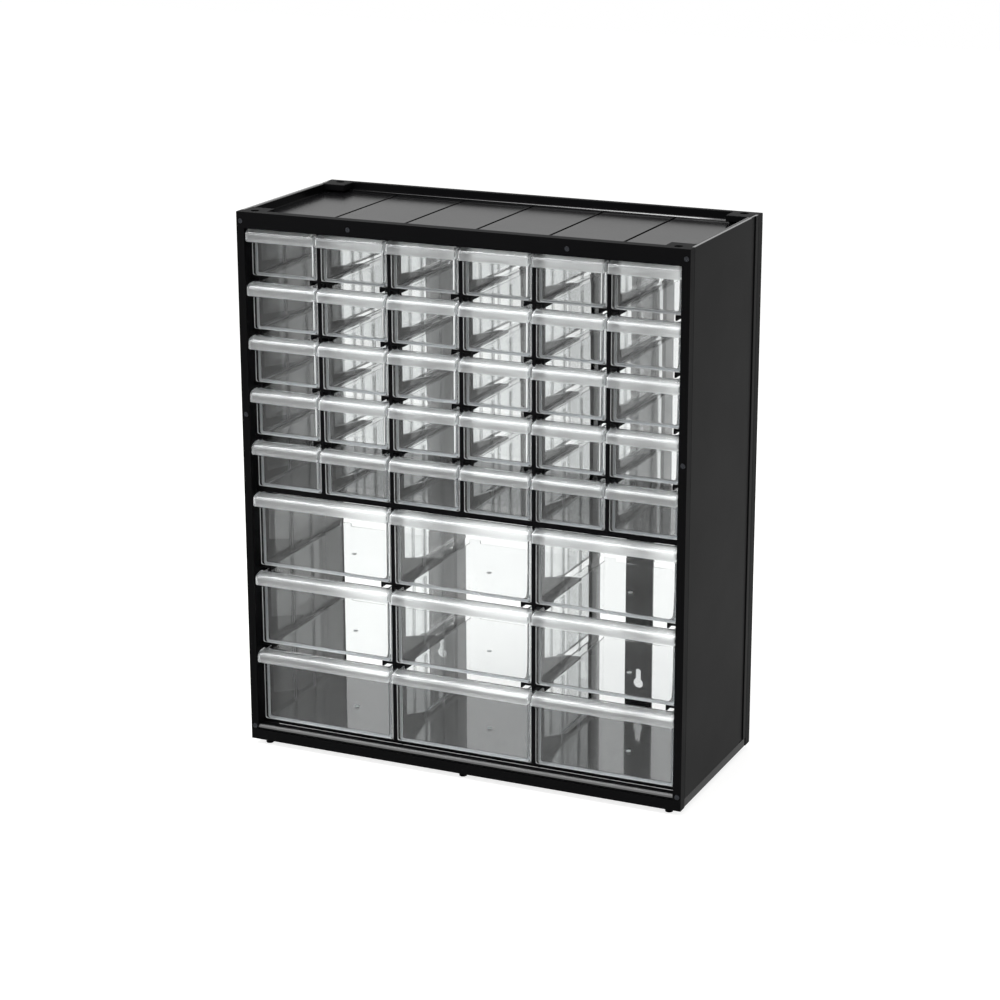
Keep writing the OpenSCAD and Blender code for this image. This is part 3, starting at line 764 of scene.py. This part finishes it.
def ridge_cutter(half_width, start, end):
    """A saw-toothed sheet that cuts fine ridges into the drawer's bottom."""
    floor = RUN_GAP + BOTTOM
    count = int(2 * half_width / RIDGE_SPACING)
    teeth = []
    for k in range(count):
        x = (k - (count - 1) / 2) * RIDGE_SPACING
        teeth += [(x - RIDGE_SPACING / 2, floor), (x, floor - RIDGE_HEIGHT)]
    teeth.append((count * RIDGE_SPACING / 2, floor))
    outline = teeth + [(teeth[-1][0], floor + OVERLAP), (teeth[0][0], floor + OVERLAP)]
    cutter = loft("ridges", [(start, outline), (end, outline)])
    # the loft runs along X with its outline in Y and Z: turn it to run along Y
    for vertex in cutter.data.vertices:
        x, y, z = vertex.co
        vertex.co = (y, x, z)
    cutter.data.flip_normals()
    return cutter


def gate_nub():
    """The gate mark: a low round nub that narrows to its top."""
    builder = bmesh.new()
    radius = GATE_DIAMETER / 2 * MM
    bmesh.ops.create_cone(builder, cap_ends=True, segments=GATE_SIDES, radius1=radius,
                          radius2=radius * GATE_TAPER, depth=(GATE_PROUD + OVERLAP) * MM)
    nub_middle = RUN_GAP + BOTTOM + (GATE_PROUD - OVERLAP) / 2
    bmesh.ops.translate(builder, verts=builder.verts, vec=Vector((0, GATE_DEPTH, nub_middle)) * MM)
    return as_object("gate", builder)


print("Partition ribs at", RIB_DEPTHS, "mm from the front")

# %% [markdown]
# ## The forms that are joined and cut
# The width, the height and the length of each kind are read from the frame. The box, the front, the handle
# and the two stop tabs are joined. Then the inside and the hollow of the handle are cut out, and the ribs
# are added last, because the cut would take them away.

# %% Parts of a drawer
FRONT_ROUND = 1.6
BODY_ROUND = 2.0
INSIDE_ROUND = 1.4
RIM_ROUND = 0.4
ROUND_STEPS = 4
FACE_STEPS = 3
RIM_STEPS = 2
HOOD_WEB = 1.2
HOOD_ROUND = 1.4
HOOD_END_STEPS = 6
HOLLOW_ROUND = 0.7
HOLLOW_END_STEPS = 2
FRONT_INSET = 1.3
BODY_INSET = 3.2
TAB_RISE = 2.6
TAB_REACH = {"small": 7.1, "large": 9.6}
RIDGE_FROM_WALL = 1.5
RIDGE_FROM_END = 4


def drawer_size(node):
    """Half the handle's width, the back's depth and the walls' top, in millimetres, from the frame's box."""
    low, high = [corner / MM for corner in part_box(node)]
    return (high.x - low.x) / 2, high.y - low.y + HOOD_SETBACK, high.z - low.z + RUN_GAP - TAB_RISE


def drawer_box(kind, half_body, back, top):
    """The solid box, with rounds along its foot, its back corners and its rim."""
    return block(kind + "_drawer", (-half_body, FRONT_DEPTH + OVERLAP, RUN_GAP), (half_body, back, top),
                 [(BODY_ROUND, ROUND_STEPS, lambda x, y, z: (y > HIGH_SIDE and LOW_SIDE < z < HIGH_SIDE
                                                             or z < LOW_SIDE and y > LOW_SIDE)),
                  (RIM_ROUND, RIM_STEPS, lambda x, y, z: z > HIGH_SIDE)])


def drawer_front(half_front, top):
    """The front plate, with round lower corners and an eased face."""
    return block("front", (-half_front, FRONT_DEPTH, RUN_GAP),
                 (half_front, FRONT_DEPTH + FRONT_THICKNESS, top - OVERLAP),
                 [(FRONT_ROUND, ROUND_STEPS, lambda x, y, z: z < LOW_SIDE < y < HIGH_SIDE),
                  (RIM_ROUND, FACE_STEPS, lambda x, y, z: y < LOW_SIDE and z < HIGH_SIDE)])


def stop_tab(kind, side, half_body, back, top):
    """A tab on the back wall that stops the drawer at the hooks of the ledge above."""
    ends = sorted((side * half_body, side * (half_body - TAB_REACH[kind])))
    return block("tab", (ends[0], back - WALL, top - OVERLAP), (ends[1], back, top + TAB_RISE),
                 [(RIM_ROUND, RIM_STEPS, lambda x, y, z: z > HIGH_SIDE)])


def drawer_inside(half_body, back, top):
    """What is cut out of the box, with rounds along its foot and its upright corners."""
    return block("inside", (-half_body + WALL, FRONT_DEPTH + FRONT_THICKNESS, RUN_GAP + BOTTOM),
                 (half_body - WALL, back - WALL, top + TAB_RISE + CUT_BEYOND),
                 [(INSIDE_ROUND, ROUND_STEPS, lambda x, y, z: z < HIGH_SIDE)])


print("Stop tabs rise", TAB_RISE, "mm above the walls")

# %% [markdown]
# ## Finishes of a drawer
# One moulding has five finishes, picked by place again: the handle's outside is polished, its inside is
# rougher, and the rim of the front plate scatters a white share, a painted highlight that shows as a
# bright line round each drawer.

# %% Paint a drawer
WALLS, HANDLE, HANDLE_INSIDE, PAINTED_RIM, GATE = range(len(DRAWER_FINISH))
HIGHLIGHT_RIM_WIDTH = 0.45
SIDEWAYS = 0.7
MARGIN = 0.01


def finish_at(place, normal, kind, half_front, top):
    """The finish of a drawer's face from its middle in millimetres and its normal."""
    x, y, z = place
    if y < FRONT_DEPTH - MARGIN:
        outwards = Vector((0, y - FRONT_DEPTH, z - top + HOOD_HEIGHT))
        if abs(normal.x) > SIDEWAYS:
            outwards = Vector((x, 0, 0))
        return HANDLE if normal.dot(outwards) > 0 else HANDLE_INSIDE
    # the faces at the rim of the front plate get the painted highlight finish
    at_rim = abs(x) > half_front - HIGHLIGHT_RIM_WIDTH or z < RUN_GAP + HIGHLIGHT_RIM_WIDTH
    if y <= FRONT_DEPTH + FRONT_THICKNESS and at_rim:
        return PAINTED_RIM
    on_the_gate = z > RUN_GAP + BOTTOM + MARGIN and math.hypot(x, y - GATE_DEPTH) < GATE_DIAMETER
    return GATE if kind == "large" and on_the_gate else WALLS


def paint_drawer(drawer, kind, half_front, top):
    """Gives every face of a drawer its finish."""
    drawer.data.materials.clear()
    for material in DRAWER_FINISH:
        drawer.data.materials.append(material)
    for face in drawer.data.polygons:
        face.material_index = finish_at(face.center / MM, face.normal, kind, half_front, top)


print("Bright rim", HIGHLIGHT_RIM_WIDTH, "mm wide")

# %% [markdown]
# ## One small drawer and one large one
# All thirty small drawers come from one mould and all nine large ones from another, so each kind is built
# once and its mesh is shared.

# %% Build both kinds
def build_drawer(kind, node):
    """One drawer of a kind, its middle at x = 0, its depths from the case's front, its ledge at z = 0."""
    half_handle, back, top = drawer_size(node)
    half_front = half_handle - FRONT_INSET
    half_body = half_handle - BODY_INSET
    drawer = drawer_box(kind, half_body, back, top)
    front = drawer_front(half_front, top)
    handle = loft("handle", [(x, hood_outline(top, inset))
                             for x, inset in rounded_ends(half_handle, HOOD_ROUND, HOOD_END_STEPS)])
    tabs = [stop_tab(kind, side, half_body, back, top) for side in (-1, 1)]
    combine(drawer, [front, handle] + tabs, "UNION")
    inside = drawer_inside(half_body, back, top)
    hollow_ends = rounded_ends(half_handle - HOOD_WEB, HOLLOW_ROUND, HOLLOW_END_STEPS)
    hollow = loft("hollow", [(x, hollow_outline(top, inset)) for x, inset in hollow_ends])
    combine(drawer, [inside, hollow], "DIFFERENCE")
    if kind == "small":
        ridges = ridge_cutter(half_body - WALL - RIDGE_FROM_WALL, FRONT_DEPTH + RIDGE_FROM_END,
                              back - RIDGE_FROM_END)
        combine(drawer, [ridges], "DIFFERENCE")
    combine(drawer, partition_ribs(half_body, top) + ([gate_nub()] if kind == "large" else []), "UNION")
    shade(drawer)
    paint_drawer(drawer, kind, half_front, top)
    print(kind, "drawer:", round(2 * half_handle, 1), "mm wide,", round(top, 1), "mm high,",
          len(drawer.data.polygons), "faces")
    return drawer


patterns = {"small": build_drawer("small", "small_drawer_r1_c1"),
            "large": build_drawer("large", "large_drawer_r1_c1")}

# %% [markdown]
# ## Thirty-nine drawers in their places
# Each drawer of the frame is replaced by a copy of its pattern, which rides on the frame's own body, so
# that it still slides.

# %% Place the drawers
for node in [name for name in nodes if "drawer" in name]:
    kind = node.split("_")[0]
    low, high = [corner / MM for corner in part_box(node)]
    drawer = bpy.data.objects.new(node + "_moulding", patterns[kind].data)
    drawer.location = Vector(((low.x + high.x) / 2, low.y - HOOD_SETBACK, low.z - RUN_GAP)) * MM
    scene.collection.objects.link(drawer)
    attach(drawer, node)
    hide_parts(node)
for pattern in patterns.values():
    bpy.data.objects.remove(pattern)
